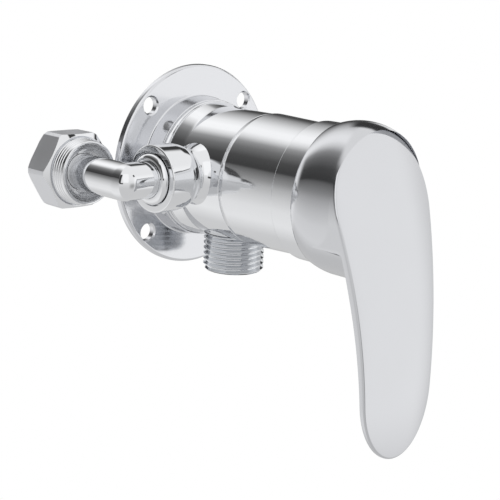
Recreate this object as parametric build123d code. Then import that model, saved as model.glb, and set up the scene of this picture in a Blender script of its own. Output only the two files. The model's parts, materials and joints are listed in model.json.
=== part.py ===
from build123d import *
import math
import os

# Exposed single-lever shower mixer valve, in millimetres.
# The origin is on the wall, at the centre of the flange's back. +Z is up, +X is to the right of someone
# who faces the wall, and the room lies towards -Y. A station is a distance from the wall, so a station s
# is at Y = -s.

# Wall flange
flange_r = 35.0
flange_t = 2.5
flange_edge = 1.2
screw_hole_r = 2.9
screw_inset = 4.3
screw_count = 4
screw_sink = 0.5
spigot_r = 20.0
spigot_start = 1.5
cup_wall = 3.45
cup_flare = 0.7
cup_end = 9.0

# Seam between the flange's cup and the body
seam_end = 11.4
seam_wall = 3.0
seam_groove = 0.45

# Body, a casting with the arms on it
body_step = 3.0
body_neck_end = 16.4
body_r = 21.8
shoulder = 36.5
bonnet_r = 20.3
bonnet_end = 57.5
chamber_r = 17.7
chamber_floor = 34.5
thread_seat = 54.0
bonnet_thread_r = 18.6

# Arms and their ball-ended housings
arm_station = 22.8
arm_height = 1.5
boss_r = 9.9
boss_end = 23.6
boss_round = 1.4
ball_r = 10.85
ball_centre = 30.7
mouth = 37.9
mouth_round = 0.5
pocket_r = 8.6
pocket_floor = 28.5
arm_bore_r = 5.5
arm_bore_end = 4.0

# Outlet below, a G1/2 male thread
thread_major_r = 10.478
outlet_end = 33.4
outlet_bore_r = 7.0
outlet_bore_top = 6.0
outlet_chamfer = 0.9
nipple_shank_r = 9.8
nipple_shank_top = 13.0
nipple_rim_r = 10.7
nipple_rim_top = 17.0
nipple_rim_end = 22.2
relief_r = 9.4
relief_length = 0.7

# Waterways between the arms, the outlet and the cartridge
inlet_port_x = 7.0
inlet_port_z = 3.0
inlet_port_r = 3.0
outlet_port_z = -8.2
outlet_port_r = 3.2

# Bent tubes
tube_r = 5.95
tube_bore_r = 4.9
tube_inner_end = 28.9
nut_flange_gap = 0.05
bead_r = 7.6
bead_start = 31.9
bead_end = 33.2
flare_r = 9.2
flare_t = 2.0
seal_section_r = 1.2
seal_place = 30.4

# Gland rings
gland_start = 33.3
gland_thread_end = 36.6
gland_r = 8.25
gland_dome = 1.9
gland_lip = 0.35

# Union nuts
nut_flats = 24.0
nut_turned_r = 13.45
nut_front = -0.6
nut_length = 10.0
nut_chamfer = 1.0
collar_root_r = 10.9
collar_rim_r = 10.35
collar_length = 5.2
collar_rings = 3
ring_depth = 0.4
bowl_r = 9.3
bowl_depth = 3.8
nut_shoulder = 2.4

# Sleeve and trim ring over the cartridge
sleeve_back_r = 22.15
sleeve_front_r = 21.35
sleeve_end = 60.2
sleeve_chamfer = 0.75
sleeve_chamfer_length = 1.5
sleeve_wall_gap = 0.15
ring_r = 22.4
ring_end = 69.0
ring_round = 0.4
ring_wall = 2.2
ring_bore_r = 19.9
ring_window_r = 10.5
ring_spigot_start = 58.0

# Cartridge
nut_hex = 33.0
cartridge_nut_end = 61.5
housing_r = 17.5
housing_start = 37.5
housing_bore_r = 15.5
housing_roof = 51.6
housing_neck_r = 13.2
housing_neck_end = 60.5
base_start = 35.5
base_top = 38.3
port_seal_r = 4.7
port_seal_bore = 3.3
disc_t = 2.5
fixed_disc_r = 14.9
moving_disc_r = 10.5
chamber_mix_r = 4.2
carrier_start = 43.35
carrier_end = 48.2
carrier_flat = 0.5
socket_floor = 44.3
rotor_leg_start = 43.7
rotor_base = 48.6
rotor_base_end = 51.4
rotor_base_r = 15.2
rotor_neck_r = 8.8
rotor_end = 66.0
rotor_slot_half = 6.3

# Lever spindle, which tilts on a cross pin in the rotor
pivot = 61.5
tilt_rest = 12.0
pin_r = 1.5
pin_half = 8.3
square = 8.0
square_start = -3.2
square_end = 17.0
rod_r = 2.6
ball_tip_r = 3.0
tip_arm = 14.0

# Handle
lip = 69.3
lip_r = 23.2
bulge_r = 24.2
bulge_station = 74.5
head_r = 22.4
head_edge = 83.5
head_join = 8.0
toe_half = 16.7
toe_depth = 22.0
toe_drop = 56.0
toe_join = 5.0
face_top = (20.0, 82.3)
face_mid = (-20.0, 94.3)
face_low = (-78.0, 98.4)
face_crown_r = 95.0
plate_t = 2.4
cavity_roof = 80.0
boss_lever_r = 7.2
boss_lever_start = 9.6
grub_place = 13.5
grub_r = 2.4
grub_length = 3.6
grub_key_r = 1.25
key_hole_r = 2.0

# Clearances
running_gap = 0.05
pin_gap = 0.03
thread_gap = 0.07
loose_gap = 0.3
seat_gap = 0.2
face_gap = 0.1
cavity_gap = 0.3

# Sizes that follow from the ones above
screw_pitch_r = flange_r - screw_inset
cup_bore_r = spigot_r + sleeve_wall_gap
cup_end_r = cup_bore_r + cup_wall
cup_base_r = cup_end_r + cup_flare
seam_r = cup_bore_r + seam_wall
body_back_r = spigot_r + body_step
tube_reach = flange_r + nut_flange_gap + nut_turned_r
nut_back = nut_front - nut_length
ring_front_radius = math.hypot(ring_end - pivot, ring_r)
cavity_r = ring_front_radius + cavity_gap
nut_shoulder_station = nut_front + collar_length - bowl_depth - nut_shoulder
tube_outer_end = nut_shoulder_station - loose_gap - flare_t
nut_thread_start = tube_outer_end - seat_gap
fixed_disc_top = base_top + disc_t
moving_disc_top = fixed_disc_top + disc_t
tip_rise = tip_arm * math.sin(math.radians(tilt_rest))


def profile(points):
    """Closed flat face through the points."""
    return make_face(Polyline(*points, close=True))


def turned(points, rounds=()):
    """Turned solid about the valve's axis, from (radius, station) pairs and rounded corners."""
    face = profile([(r, -s) for r, s in points])
    for r, s, size in rounds:
        corner = face.vertices().sort_by_distance((r, -s, 0))[0]
        face = fillet(corner, size)
    return revolve(face, Axis.Y)


def turned_sideways(points, side, rounds=()):
    """Turned solid about an arm's axis, from (distance from the middle, radius) pairs."""
    face = profile([(a * side, r) for a, r in points])
    for a, r, size in rounds:
        corner = face.vertices().sort_by_distance((a * side, r, 0))[0]
        face = fillet(corner, size)
    return Pos(0, -arm_station, arm_height) * revolve(face, Axis.X)


def disc(radius, start, end, x=0.0, z=0.0):
    """Plain cylinder along the valve's axis between two stations."""
    body = Cylinder(radius, end - start, rotation=(90, 0, 0))
    return Pos(x, -(start + end) / 2, z) * body


def across(radius, start, end, side):
    """Plain cylinder along an arm's axis."""
    body = Cylinder(radius, end - start, rotation=(0, 90, 0))
    return Pos(side * (start + end) / 2, -arm_station, arm_height) * body


def down(radius, start, end):
    """Plain cylinder along the outlet's axis, between two depths below the valve's axis."""
    return Pos(0, -arm_station, -(start + end) / 2) * Cylinder(radius, end - start)


def hexagon(flats, start, end, x=0.0, z=0.0):
    """Hexagonal bar along the valve's axis, with flats above and below."""
    bar = extrude(Plane.XZ * RegularPolygon(flats / math.sqrt(3), 6), end - start)
    return Pos(x, -start, z) * bar


# Wall side


def make_wall_flange():
    """Round plate with its cup and four screw holes."""
    points = [
        (cup_bore_r, 0),
        (flange_r, 0),
        (flange_r, flange_t),
        (cup_base_r, flange_t),
        (cup_end_r, cup_end),
        (cup_bore_r, cup_end),
    ]
    plate = turned(points, [(flange_r, flange_t, flange_edge)])
    for i in range(screw_count):
        angle = math.radians(45 + i * 360 / screw_count)
        x = screw_pitch_r * math.cos(angle)
        z = screw_pitch_r * math.sin(angle)
        plate -= disc(screw_hole_r, -1, flange_t + 1, x, z)
        sink = Cone(screw_hole_r, screw_hole_r + screw_sink, screw_sink, rotation=(90, 0, 0))
        plate -= Pos(x, -flange_t + screw_sink / 2, z) * sink
    screw_middle = (flange_t + cup_end) / 2
    hole_length = cup_base_r - spigot_r
    hole = Cylinder(grub_r, hole_length + 2)
    return plate - Pos(0, -screw_middle, -(cup_base_r + spigot_r) / 2) * hole


def make_body_screw():
    """Set screw from below, through the cup onto the body's spigot."""
    screw_middle = (flange_t + cup_end) / 2
    length = cup_end_r - spigot_r - loose_gap
    screw = Cylinder(grub_r - thread_gap, length)
    key = Pos(0, 0, -length / 2) * extrude(RegularPolygon(grub_key_r, 6), length / 2)
    return Pos(0, -screw_middle, -spigot_r - length / 2) * (screw - key)


def make_seam_ring():
    """Ring in the seam, with a groove all round."""
    middle = (cup_end + seam_end) / 2
    points = [
        (cup_bore_r, cup_end),
        (seam_r, cup_end),
        (seam_r, middle - seam_groove),
        (seam_r - seam_groove, middle),
        (seam_r, middle + seam_groove),
        (seam_r, seam_end),
        (cup_bore_r, seam_end),
    ]
    return turned(points)


# Body casting


def make_arm(side):
    """Arm with its round boss and its ball-ended housing."""
    boss_points = [(0, 0), (boss_end, 0), (boss_end, boss_r), (0, boss_r)]
    boss = turned_sideways(boss_points, side, [(boss_end, boss_r, boss_round)])
    ball = Pos(side * ball_centre, -arm_station, arm_height) * Sphere(ball_r)
    ball -= Pos(side * (ball_centre + ball_r), -arm_station, arm_height) * Box(
        2 * ball_r, 3 * ball_r, 3 * ball_r
    )
    barrel_points = [(ball_centre, 0), (mouth, 0), (mouth, ball_r), (ball_centre, ball_r)]
    barrel = turned_sideways(barrel_points, side, [(mouth, ball_r, mouth_round)])
    return boss + ball + barrel


def make_valve_body():
    """Cast body: spigot, barrel, bonnet tube, both arms and the waterways."""
    points = [
        (0, spigot_start),
        (spigot_r, spigot_start),
        (spigot_r, seam_end),
        (body_back_r, seam_end),
        (body_r, body_neck_end),
        (body_r, shoulder),
        (bonnet_r, shoulder),
        (bonnet_r, bonnet_end),
        (0, bonnet_end),
    ]
    body = turned(points)
    for side in (-1, 1):
        body += make_arm(side)
    body -= disc(chamber_r, chamber_floor, thread_seat)
    body -= disc(bonnet_thread_r, thread_seat, bonnet_end + 1)
    for side in (-1, 1):
        body -= across(pocket_r, pocket_floor, mouth + 1, side)
        body -= across(arm_bore_r, arm_bore_end, pocket_floor + 1, side)
        body -= disc(inlet_port_r, arm_station, chamber_floor + 1, side * inlet_port_x, inlet_port_z)
    body -= down(outlet_bore_r, outlet_bore_top, nipple_shank_top + 1)
    body -= down(nipple_shank_r + thread_gap, nipple_shank_top, nipple_rim_top + 1)
    body -= down(nipple_rim_r + thread_gap, nipple_rim_top, 2 * body_r)
    body -= disc(outlet_port_r, arm_station, chamber_floor + 1, 0, outlet_port_z)
    return body


def make_outlet_nipple():
    """Outlet nipple, screwed into the body from below."""
    thread_top = nipple_rim_end + relief_length
    points = [
        (outlet_bore_r, -nipple_shank_top),
        (nipple_shank_r, -nipple_shank_top),
        (nipple_shank_r, -nipple_rim_top),
        (nipple_rim_r, -nipple_rim_top),
        (nipple_rim_r, -nipple_rim_end),
        (relief_r, -nipple_rim_end),
        (relief_r, -thread_top),
        (thread_major_r, -thread_top),
        (thread_major_r, -outlet_end + outlet_chamfer),
        (thread_major_r - outlet_chamfer, -outlet_end),
        (outlet_bore_r, -outlet_end),
    ]
    face = Plane.XZ * profile(points)
    return Pos(0, -arm_station, 0) * revolve(face, Axis.Z)


# Arms' loose pieces


def make_gland_ring(side):
    """Gland ring in the mouth of a housing, domed outwards round the tube."""
    inner = tube_r + running_gap
    start = Line((gland_start * side, inner), (gland_start * side, pocket_r - running_gap))
    thread = Polyline(
        start @ 1,
        (gland_thread_end * side, pocket_r - running_gap),
        (gland_thread_end * side, gland_r),
        (mouth * side, gland_r),
    )
    top = ((mouth + gland_dome) * side, inner + gland_lip)
    middle = ((mouth + 0.72 * gland_dome) * side, (gland_r + inner + gland_lip) / 2 + gland_lip / 2)
    dome = ThreePointArc(thread @ 1, middle, top)
    back = Polyline(dome @ 1, ((mouth + gland_dome) * side, inner), start @ 0)
    face = make_face([start, thread, dome, back])
    return Pos(0, -arm_station, arm_height) * revolve(face, Axis.X)


def make_tube_seal(side):
    """Rubber ring between the tube and the housing."""
    middle_r = (tube_r + pocket_r) / 2
    ring = Torus(middle_r, seal_section_r, rotation=(0, 90, 0))
    return Pos(side * seal_place, -arm_station, arm_height) * ring


def elbow(radius, inner_end, outer_station, side):
    """Two straight runs that meet at a square, ball-cornered bend."""
    corner = Pos(side * tube_reach, -arm_station, arm_height) * Sphere(radius)
    first = across(radius, inner_end, tube_reach, side)
    second = disc(radius, outer_station, arm_station, side * tube_reach, arm_height)
    return corner + first + second


def make_bent_tube(side):
    """Bent tube with its bead behind the gland and its flare inside the union nut."""
    tube = elbow(tube_r, tube_inner_end, tube_outer_end, -1)
    tube += across(bead_r, bead_start, bead_end, -1)
    tube += disc(flare_r, tube_outer_end, tube_outer_end + flare_t, -tube_reach, arm_height)
    tube -= elbow(tube_bore_r, tube_inner_end - 1, tube_outer_end - 1, -1)
    return tube if side < 0 else mirror(tube, Plane.YZ)


def make_union_nut(side):
    """Union nut: chamfered hexagon, ringed collar and the bowl round the tube."""
    hexagon_bar = hexagon(nut_flats, nut_back, nut_front)
    cone = turned(
        [
            (0, nut_back - 0.1),
            (nut_turned_r - nut_chamfer, nut_back - 0.1),
            (nut_turned_r - nut_chamfer, nut_back),
            (nut_turned_r, nut_back + nut_chamfer / 2),
            (nut_turned_r, nut_front - nut_chamfer),
            (nut_turned_r - 2 * nut_chamfer, nut_front),
            (0, nut_front),
        ]
    )
    blank = hexagon_bar & cone
    rim = nut_front + collar_length
    pitch = collar_length / (collar_rings + 2)
    slope = (collar_root_r - collar_rim_r) / collar_length
    points = [(0, nut_front - 1), (collar_root_r, nut_front - 1), (collar_root_r, nut_front)]
    for i in range(collar_rings):
        place = nut_front + pitch * (i + 1)
        r = collar_root_r - slope * (place - nut_front)
        points += [(r, place - pitch / 4), (r - ring_depth, place), (r, place + pitch / 4)]
    points += [(collar_rim_r, rim - ring_depth), (collar_rim_r - ring_depth, rim), (0, rim)]
    blank += turned(points)
    bore = tube_r + face_gap
    floor = rim - bowl_depth
    wall = Polyline((bore, rim + 1), (bowl_r, rim + 1), (bowl_r, rim))
    curve = ThreePointArc((bowl_r, rim), (bowl_r - 0.85, floor + bowl_depth / 3), (bore, floor))
    shut = Line((bore, floor), (bore, rim + 1))
    bowl = Plane.XY.location * make_face([wall, curve, shut])
    blank -= revolve(mirror(bowl, Plane.XZ), Axis.Y)
    blank -= disc(bore, nut_shoulder_station - 1, rim + 2)
    blank -= disc(flare_r + loose_gap, nut_back - 1, nut_shoulder_station)
    blank -= disc(thread_major_r + thread_gap, nut_back - 1, nut_thread_start)
    return Pos(side * tube_reach, 0, arm_height) * blank


# Front trim


def make_front_sleeve():
    """Sleeve over the bonnet tube, slightly tapered, with a bevelled back edge."""
    inner = bonnet_r + sleeve_wall_gap
    points = [
        (inner, shoulder),
        (sleeve_back_r - sleeve_chamfer, shoulder),
        (sleeve_back_r, shoulder + sleeve_chamfer_length),
        (sleeve_front_r, sleeve_end),
        (inner, sleeve_end),
    ]
    return turned(points)


def make_trim_ring():
    """Trim ring that closes the front of the sleeve round the lever."""
    points = [
        (ring_bore_r, ring_spigot_start),
        (bonnet_r, ring_spigot_start),
        (bonnet_r, sleeve_end),
        (ring_r, sleeve_end),
        (ring_r, ring_end),
        (ring_window_r, ring_end),
        (ring_window_r, ring_end - ring_wall),
        (ring_bore_r, ring_end - ring_wall),
    ]
    return turned(points, [(ring_r, sleeve_end, ring_round), (ring_r, ring_end, ring_round)])


# Cartridge


def make_cartridge_nut():
    """Brass retaining nut that presses the cartridge down."""
    nut = disc(bonnet_thread_r - thread_gap, thread_seat, bonnet_end)
    nut += hexagon(nut_hex, bonnet_end, cartridge_nut_end)
    return nut - disc(housing_neck_r + sleeve_wall_gap, thread_seat - 1, cartridge_nut_end + 1)


def make_cartridge_housing():
    """Plastic shell of the cartridge."""
    points = [
        (housing_bore_r, housing_start),
        (housing_r, housing_start),
        (housing_r, thread_seat),
        (housing_neck_r, thread_seat),
        (housing_neck_r, housing_neck_end),
        (rotor_neck_r + running_gap, housing_neck_end),
        (rotor_neck_r + running_gap, housing_roof),
        (housing_bore_r, housing_roof),
    ]
    return turned(points)


def make_cartridge_base():
    """Base of the cartridge, with two inlet ports and the outlet port."""
    base = disc(housing_r, base_start, housing_start)
    base += disc(housing_bore_r - running_gap, housing_start, base_top)
    return cut_ports(base, base_start, base_top)


def cut_ports(solid, start, end):
    """The three waterways through a base or a disc."""
    for side in (-1, 1):
        solid -= disc(inlet_port_r, start - 1, end + 1, side * inlet_port_x, inlet_port_z)
    return solid - disc(outlet_port_r, start - 1, end + 1, 0, outlet_port_z)


def make_port_seal(x, z):
    """Rubber ring between a port of the base and the body's floor."""
    ring = disc(port_seal_r, chamber_floor, base_start, x, z)
    return ring - disc(port_seal_bore, chamber_floor - 1, base_start + 1, x, z)


def make_fixed_disc():
    """Ceramic disc that lies still on the base."""
    return cut_ports(disc(fixed_disc_r, base_top, fixed_disc_top), base_top, fixed_disc_top)


def make_moving_disc():
    """Ceramic disc that the carrier slides, with its mixing pocket open downwards."""
    blank = disc(moving_disc_r, fixed_disc_top, moving_disc_top, 0, tip_rise)
    pocket = disc(chamber_mix_r, fixed_disc_top - 1, fixed_disc_top + disc_t * 0.6, 0, tip_rise)
    return blank - pocket


def make_disc_carrier():
    """Carrier on the moving disc, with flats for the rotor's legs and the socket for the spindle."""
    block = disc(moving_disc_r, carrier_start, carrier_end)
    width = 2 * (moving_disc_r - carrier_flat)
    height = carrier_end - carrier_start
    middle = (carrier_start + carrier_end) / 2
    block &= Pos(0, -middle, 0) * Box(width, 2 * height, 4 * moving_disc_r)
    block += disc(chamber_mix_r, moving_disc_top, carrier_start)
    block -= disc(ball_tip_r + running_gap, socket_floor, carrier_end + 1)
    return Pos(0, 0, tip_rise) * block


def make_rotor():
    """Rotor: two legs that guide the carrier, a round base and a slotted neck."""
    neck = disc(rotor_neck_r, rotor_base, rotor_end)
    base = disc(rotor_base_r, rotor_base, rotor_base_end)
    legs = disc(rotor_base_r, rotor_leg_start, rotor_base)
    leg_length = rotor_base - rotor_leg_start
    middle = (rotor_leg_start + rotor_base) / 2
    gap = Pos(0, -middle, 0) * Box(2 * moving_disc_r, 2 * leg_length, 4 * rotor_base_r)
    rotor = neck + base + (legs - gap)
    slot_width = square + 2 * face_gap
    slot = Box(slot_width, rotor_end, 2 * rotor_slot_half)
    rotor -= Pos(0, -rotor_end, 0) * slot
    hole = Cylinder(pin_r, 4 * pin_half, rotation=(0, 90, 0))
    return rotor - Pos(0, -pivot, 0) * hole


def make_pivot_pin():
    """Steel cross pin, pressed into the rotor's neck."""
    return Pos(0, -pivot, 0) * Cylinder(pin_r, 2 * pin_half, rotation=(0, 90, 0))


def lever_frame(solid):
    """Turns a piece built straight out along the axis into the closed lever's slant."""
    slanted = Rot(tilt_rest, 0, 0) * (Pos(0, pivot, 0) * solid)
    return Pos(0, -pivot, 0) * slanted


def make_lever_spindle():
    """Square spindle with its round lower end."""
    middle = (square_start + square_end) / 2
    bar = Pos(0, -pivot - middle, 0) * Box(square, square_end - square_start, square)
    rod = disc(rod_r, pivot - tip_arm, pivot + square_start)
    tip = Pos(0, -pivot + tip_arm, 0) * Sphere(ball_tip_r)
    hole = Cylinder(pin_r + pin_gap, 3 * square, rotation=(0, 90, 0))
    spindle = bar + rod + tip - Pos(0, -pivot, 0) * hole
    return lever_frame(spindle)


# Handle


def face_sheet(offset):
    """Everything in front of the handle's face, which is domed both ways, moved back by the offset."""
    arc = ThreePointArc(*[(-station, height) for height, station in (face_top, face_mid, face_low)])
    half = 2 * bulge_r
    edge = arc.radius - face_crown_r + math.sqrt(face_crown_r**2 - half**2)
    far = arc.radius + 2 * bulge_r
    crown = ThreePointArc((-half, edge), (0, arc.radius), (half, edge))
    rest = Polyline((half, edge), (half, far), (-half, far), (-half, edge))
    sheet = revolve(make_face([crown, rest]), Axis.X, 70)
    sheet = Rot(0, 0, 180) * (Rot(-20, 0, 0) * sheet)
    return Pos(0, arc.arc_center.X + offset, arc.arc_center.Y) * sheet


def handle_outline():
    """Outline of the handle from the front: a round head, hollow flanks and an oval tip."""
    lean = math.radians(head_join)
    hip = (head_r * math.cos(lean), -head_r * math.sin(lean))
    rise = math.radians(toe_join)
    ankle = (toe_half * math.cos(rise), toe_depth * math.sin(rise) - toe_drop)
    hip_run = (-math.sin(lean), -math.cos(lean))
    ankle_run = (-toe_half * math.sin(rise), -toe_depth * math.cos(rise))
    crown = ThreePointArc((-hip[0], hip[1]), (0, head_r), hip)
    flank = Spline(hip, ankle, tangents=[hip_run, ankle_run])
    toe = EllipticalCenterArc((0, -toe_drop), toe_half, toe_depth, 180 - toe_join, arc_size=180 + 2 * toe_join)
    return make_face([crown, flank, toe, mirror(flank, Plane.YZ)])


def make_handle_shell():
    """Handle's outside: the domed head and the long flat paddle."""
    depth = 120
    base = Polyline((0, -lip), (lip_r, -lip))
    bulge = ThreePointArc((lip_r, -lip), (bulge_r, -bulge_station), (head_r, -head_edge))
    top = Polyline((head_r, -head_edge), (head_r, -depth), (0, -depth), (0, -lip))
    head = revolve(make_face([base, bulge, top]), Axis.Y)
    column = Pos(0, -lip, 0) * extrude(Plane.XZ * handle_outline(), depth - lip)
    paddle = column & face_sheet(plate_t)
    chin = column & disc(bulge_r, bulge_station, depth)
    return head + chin + paddle - face_sheet(0)


def make_handle():
    """Handle with its hollow head, the boss round the spindle and the key hole."""
    shell = make_handle_shell()
    hollow = Pos(0, -pivot, 0) * Sphere(cavity_r)
    hollow_depth = cavity_roof - pivot
    hollow &= Pos(0, -pivot - hollow_depth / 2, 0) * Box(4 * cavity_r, hollow_depth, 4 * cavity_r)
    shell -= hollow
    boss_length = cavity_roof - pivot - boss_lever_start
    boss = disc(boss_lever_r, pivot + boss_lever_start, pivot + boss_lever_start + boss_length + 2)
    shell += lever_frame(boss)
    socket_half = square / 2 + pin_gap
    socket_depth = square_end + loose_gap
    middle = (boss_lever_start - 2 + socket_depth) / 2
    socket = Pos(0, -pivot - middle, 0) * Box(
        2 * socket_half, socket_depth - boss_lever_start + 2, 2 * socket_half
    )
    shell -= lever_frame(socket)
    screw = Pos(0, -pivot - grub_place, -boss_lever_r / 2 - square / 4) * Cylinder(grub_r, boss_lever_r)
    shell -= lever_frame(screw)
    key = Pos(0, -pivot - grub_place, -bulge_r) * Cylinder(key_hole_r, bulge_r)
    return shell - lever_frame(key)


def make_grub_screw():
    """Set screw that locks the handle on the spindle."""
    start = square / 2 + pin_gap
    screw = Pos(0, 0, -start - grub_length / 2) * Cylinder(grub_r - thread_gap, grub_length)
    key = Pos(0, 0, -start - grub_length) * extrude(RegularPolygon(grub_key_r, 6), grub_length / 2)
    return lever_frame(Pos(0, -pivot - grub_place, 0) * (screw - key))


pieces = {
    "wall_flange": make_wall_flange(),
    "seam_ring": make_seam_ring(),
    "body_screw": make_body_screw(),
    "valve_body": make_valve_body(),
    "outlet_nipple": make_outlet_nipple(),
    "front_sleeve": make_front_sleeve(),
    "trim_ring": make_trim_ring(),
    "cartridge_nut": make_cartridge_nut(),
    "cartridge_housing": make_cartridge_housing(),
    "cartridge_base": make_cartridge_base(),
    "hot_seal": make_port_seal(-inlet_port_x, inlet_port_z),
    "cold_seal": make_port_seal(inlet_port_x, inlet_port_z),
    "mixed_seal": make_port_seal(0, outlet_port_z),
    "fixed_disc": make_fixed_disc(),
    "moving_disc": make_moving_disc(),
    "disc_carrier": make_disc_carrier(),
    "rotor": make_rotor(),
    "pivot_pin": make_pivot_pin(),
    "lever_spindle": make_lever_spindle(),
    "handle": make_handle(),
    "handle_screw": make_grub_screw(),
}
for name, side in (("left", -1), ("right", 1)):
    pieces[name + "_gland_ring"] = make_gland_ring(side)
    pieces[name + "_tube_seal"] = make_tube_seal(side)
    pieces[name + "_bent_tube"] = make_bent_tube(side)
    pieces[name + "_union_nut"] = make_union_nut(side)

os.makedirs("parts", exist_ok=True)
for name, solid in pieces.items():
    export_step(solid, "parts/" + name + ".step")
    print(name, len(solid.solids()), round(solid.volume), [round(v, 2) for v in solid.bounding_box().size])
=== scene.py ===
"""Shower mixer valve: fine meshes, procedural finishes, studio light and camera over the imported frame."""
import json
import logging
import math
from dataclasses import dataclass
from enum import Enum
from typing import Sequence

import bmesh
import bpy
from bmesh.types import BMEdge, BMesh, BMVert
from bpy.types import Material, Node, NodeSocket, NodeTree, Object, World
from mathutils import Matrix, Vector
from mathutils.geometry import interpolate_bezier


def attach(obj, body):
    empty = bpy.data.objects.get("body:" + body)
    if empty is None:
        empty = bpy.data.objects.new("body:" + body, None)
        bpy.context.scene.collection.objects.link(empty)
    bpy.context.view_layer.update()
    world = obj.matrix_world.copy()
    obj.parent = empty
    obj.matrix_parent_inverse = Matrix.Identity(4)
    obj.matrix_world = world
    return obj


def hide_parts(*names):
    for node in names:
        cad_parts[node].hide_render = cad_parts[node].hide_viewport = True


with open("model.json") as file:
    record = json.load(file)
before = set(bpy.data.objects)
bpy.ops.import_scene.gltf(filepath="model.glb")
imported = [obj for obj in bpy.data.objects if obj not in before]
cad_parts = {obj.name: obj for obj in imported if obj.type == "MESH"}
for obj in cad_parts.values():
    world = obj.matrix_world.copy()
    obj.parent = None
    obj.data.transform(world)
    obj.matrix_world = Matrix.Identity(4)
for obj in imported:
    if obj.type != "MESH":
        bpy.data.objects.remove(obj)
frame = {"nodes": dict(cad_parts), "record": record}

MM = 0.001
STEPS = 192
ORIGIN = (0, 0, 0)
FORWARD = (0, -1, 0)
UP = (0, 0, 1)
DOWN = (0, 0, -1)
WHITE = (1, 1, 1, 1)
NOISE_SPAN = {"From Min": 0.3, "From Max": 0.7}
PLATE = "polished_chrome"
LOG = logging.getLogger("shower_mixer")


class Body(str, Enum):
    """Bodies of the frame that the pieces ride on."""

    VALVE = "valve"
    LEVER = "lever"
    LEFT_TUBE = "left_tube"
    RIGHT_TUBE = "right_tube"
    LEFT_NUT = "left_nut"
    RIGHT_NUT = "right_nut"


class Side(Enum):
    """Side of the valve, as the sign of X."""

    LEFT = -1
    RIGHT = 1

    @property
    def word(self) -> str:
        """Name of the side, as the nodes use it."""
        return self.name.lower()


def linear(code: str, share: float = 1.0) -> tuple[float, ...]:
    """Turns an sRGB hex colour into linear values.

    Args:
        code: colour such as "#d9dbde".
        share: share of its brightness that is kept.

    Returns:
        Linear red, green and blue, with an alpha of 1.
    """
    parts = [int(code[i : i + 2], 16) / 255 for i in (1, 3, 5)]
    values = [c / 12.92 if c <= 0.04045 else ((c + 0.055) / 1.055) ** 2.4 for c in parts]
    return *(value * share for value in values), 1.0


def blank_tree(owner: Material | World) -> NodeTree:
    """Empties the node tree of a material or of the world, and gives it back."""
    owner.use_nodes = True
    owner.node_tree.nodes.clear()
    return owner.node_tree


def add_node(tree: NodeTree, kind: str, links: dict | None = None, **settings) -> Node:
    """Adds a node with its settings, socket values and links.

    Args:
        tree: node tree that gets the node.
        kind: Blender's name of the node type, after "ShaderNode".
        links: input socket name or number to an output socket, or to a constant.
        settings: attributes of the node.

    Returns:
        The new node.
    """
    node = tree.nodes.new("ShaderNode" + kind)
    for key, value in settings.items():
        setattr(node, key, value)
    for key, value in (links or {}).items():
        if isinstance(value, NodeSocket):
            tree.links.new(value, node.inputs[key])
        else:
            node.inputs[key].default_value = value
    return node


@dataclass(frozen=True)
class Finish:
    """A surface finish: its colour and gloss, with unevenness sized in millimetres."""

    name: str
    colour: str
    roughness: tuple[float, float]
    metallic: float = 0.0
    patch_mm: float = 12.0
    grain_mm: float = 0.4
    grain_height_mm: float = 0.0
    grain_stretch: tuple[float, float, float] = (1.0, 1.0, 1.0)
    shade: float = 0.04
    coat: float = 0.0
    slot: str = ""

    def build(self) -> Material:
        """Makes the material: patches vary its tint and gloss, and a finer grain gives its relief.

        Returns:
            The material.
        """
        material = bpy.data.materials.new(self.name)
        tree = blank_tree(material)
        place = add_node(tree, "TexCoord").outputs["Object"]
        spread = {"Vector": place, "Scale": 1 / (self.patch_mm * MM), "Detail": 3.0, "Roughness": 0.55}
        patches = add_node(tree, "TexNoise", spread).outputs["Fac"]
        low, high = self.roughness
        gloss = add_node(tree, "MapRange", {"Value": patches, **NOISE_SPAN, "To Min": low, "To Max": high})
        dark, full = linear(self.colour, 1 - self.shade), linear(self.colour)
        tint = add_node(tree, "Mix", {"Factor": patches, "A": dark, "B": full}, data_type="RGBA")
        looks = {"Base Color": tint.outputs["Result"], "Roughness": gloss.outputs["Result"]}
        looks |= {"Metallic": self.metallic, "Coat Weight": self.coat}
        surface = add_node(tree, "BsdfPrincipled", looks)
        if self.grain_height_mm:
            drawn = add_node(tree, "Mapping", {"Vector": place, "Scale": self.grain_stretch})
            fine = {"Vector": drawn.outputs["Vector"], "Scale": 1 / (self.grain_mm * MM), "Detail": 2.0}
            grain = add_node(tree, "TexNoise", fine)
            height = {"Height": grain.outputs["Fac"], "Distance": self.grain_height_mm * MM, "Strength": 1.0}
            relief = add_node(tree, "Bump", height)
            tree.links.new(relief.outputs["Normal"], surface.inputs["Normal"])
        add_node(tree, "OutputMaterial", {"Surface": surface.outputs["BSDF"]})
        return material


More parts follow.
